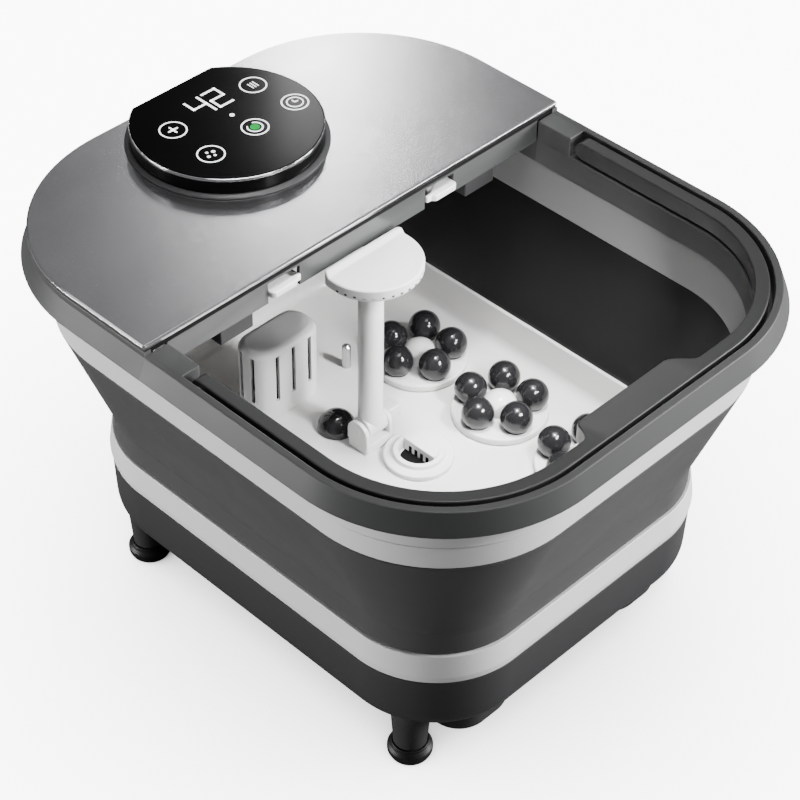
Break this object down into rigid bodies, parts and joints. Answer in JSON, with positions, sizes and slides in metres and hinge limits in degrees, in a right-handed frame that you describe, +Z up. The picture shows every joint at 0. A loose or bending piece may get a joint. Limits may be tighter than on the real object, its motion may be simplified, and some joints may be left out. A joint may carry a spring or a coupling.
{
  "type": "foot spa basin",
  "caption": "Collapsible foot spa basin on legs, with a covered control end, touch panel, carry handle, massage rollers, heater, pump and a folding shower column.",
  "frame": {"origin": "on the floor under the middle of the overall box", "axes": "+Z up, +Y towards the covered control end, +X to the right seen from the open end; +Y is the longest extent and +Z the shortest"},
  "size_m": [0.345, 0.407, 0.27],
  "materials": {
    "charcoal": "satin moulded",
    "soft_wall": "soft matt elastomer",
    "white": "smooth moulded",
    "pale_grey": "plain moulded",
    "silver": "silver satin lacquer",
    "black_gloss": "piano black",
    "panel_glass": "black backed glass",
    "rubber": "matt",
    "dark_ball": "polished",
    "steel": "plain",
    "nylon": "moulded",
    "board": "solder resist"
  },
  "bodies": {
    "base": {"base_shell": "charcoal", "lower_band": "white", "soft_wall": "soft_wall", "floor_tray": "white", "motor_pod_left": "charcoal", "motor_pod_right": "charcoal", "foot_left_front": "rubber", "foot_right_front": "rubber", "foot_left_back": "rubber", "foot_right_back": "rubber", "gear_motor_left": "steel", "gear_motor_right": "steel", "pump_body": "pale_grey", "pump_motor": "steel", "outlet_pipe": "pale_grey", "shower_riser": "white", "shower_pin": "white", "heater_housing": "white", "heater_element": "steel", "temperature_sensor": "steel", "drain_pipe": "pale_grey", "cord_gland": "rubber"},
    "upper": {"rim": "charcoal", "upper_ring": "white", "handle_pin_left": "steel", "handle_pin_right": "steel", "top_cover": "silver", "cover_frame": "charcoal", "control_box": "charcoal", "main_board": "board", "panel_housing": "black_gloss", "panel_glass": "panel_glass", "touch_board": "board"},
    "handle": {"carry_handle": "charcoal"},
    "shower": {"shower_post": "white", "shower_head": "white"},
    "impeller": {"impeller": "charcoal"},
    "filter": {"filter_cap": "white"},
    "plug": {"drain_plug": "rubber"},
    "latch_left": {"latch_left": "white"},
    "latch_right": {"latch_right": "white"},
    "roller_left_back": {"roller_disc_left_back": "white", "roller_balls_left_back": "dark_ball", "roller_gear_left_back": "nylon"},
    "roller_left_middle": {"roller_disc_left_middle": "white", "roller_balls_left_middle": "dark_ball", "roller_gear_left_middle": "nylon"},
    "roller_left_front": {"roller_disc_left_front": "white", "roller_balls_left_front": "dark_ball", "roller_gear_left_front": "nylon"},
    "roller_right_back": {"roller_disc_right_back": "white", "roller_balls_right_back": "dark_ball", "roller_gear_right_back": "nylon"},
    "roller_right_middle": {"roller_disc_right_middle": "white", "roller_balls_right_middle": "dark_ball", "roller_gear_right_middle": "nylon"},
    "roller_right_front": {"roller_disc_right_front": "white", "roller_balls_right_front": "dark_ball", "roller_gear_right_front": "nylon"}
  },
  "joints": [
    {"name": "basin_collapse", "type": "slide", "parent": "base", "child": "upper", "axis": [0, 0, -1], "range_m": [0, 0.108], "deforming": ["soft_wall"]},
    {"name": "handle_swing", "type": "hinge", "parent": "upper", "child": "handle", "pos_m": [0, -0.0075, 0.2437], "axis": [-1, 0, 0], "range_deg": [0, 90]},
    {"name": "shower_fold", "type": "hinge", "parent": "base", "child": "shower", "pos_m": [-0.0045, 0.018, 0.106], "axis": [1, 0, 0], "range_deg": [0, 78]},
    {"name": "impeller_spin", "type": "hinge", "parent": "base", "child": "impeller", "pos_m": [0.0067, -0.013, 0.065], "axis": [0, 0, 1], "continuous": true},
    {"name": "filter_cap_twist", "type": "hinge", "parent": "base", "child": "filter", "pos_m": [0.0067, -0.013, 0.0903], "axis": [0, 0, 1], "range_deg": [0, 60]},
    {"name": "drain_plug_lift", "type": "slide", "parent": "base", "child": "plug", "axis": [0, 0, 1], "range_m": [0, 0.018]},
    {"name": "latch_left_press", "type": "slide", "parent": "upper", "child": "latch_left", "axis": [0, 1, 0], "range_m": [0, 0.005], "stiffness_N_per_m": 400},
    {"name": "latch_right_press", "type": "slide", "parent": "upper", "child": "latch_right", "axis": [0, 1, 0], "range_m": [0, 0.005], "stiffness_N_per_m": 400},
    {"name": "roller_left_back_spin", "type": "hinge", "parent": "base", "child": "roller_left_back", "pos_m": [-0.078, 0.05, 0.0954], "axis": [0, 0, 1], "continuous": true},
    {"name": "roller_left_middle_spin", "type": "hinge", "parent": "base", "child": "roller_left_middle", "pos_m": [-0.078, -0.0205, 0.0954], "axis": [0, 0, 1], "continuous": true},
    {"name": "roller_left_front_spin", "type": "hinge", "parent": "base", "child": "roller_left_front", "pos_m": [-0.078, -0.091, 0.0954], "axis": [0, 0, 1], "continuous": true},
    {"name": "roller_right_back_spin", "type": "hinge", "parent": "base", "child": "roller_right_back", "pos_m": [0.072, 0.05, 0.0954], "axis": [0, 0, 1], "continuous": true},
    {"name": "roller_right_middle_spin", "type": "hinge", "parent": "base", "child": "roller_right_middle", "pos_m": [0.072, -0.0205, 0.0954], "axis": [0, 0, 1], "continuous": true},
    {"name": "roller_right_front_spin", "type": "hinge", "parent": "base", "child": "roller_right_front", "pos_m": [0.072, -0.091, 0.0954], "axis": [0, 0, 1], "continuous": true}
  ],
  "couplings": [
    {"joint": "roller_left_back_spin", "follows": "roller_left_middle_spin", "ratio": -1},
    {"joint": "roller_left_front_spin", "follows": "roller_left_middle_spin", "ratio": -1},
    {"joint": "roller_right_back_spin", "follows": "roller_right_middle_spin", "ratio": -1},
    {"joint": "roller_right_front_spin", "follows": "roller_right_middle_spin", "ratio": -1}
  ]
}
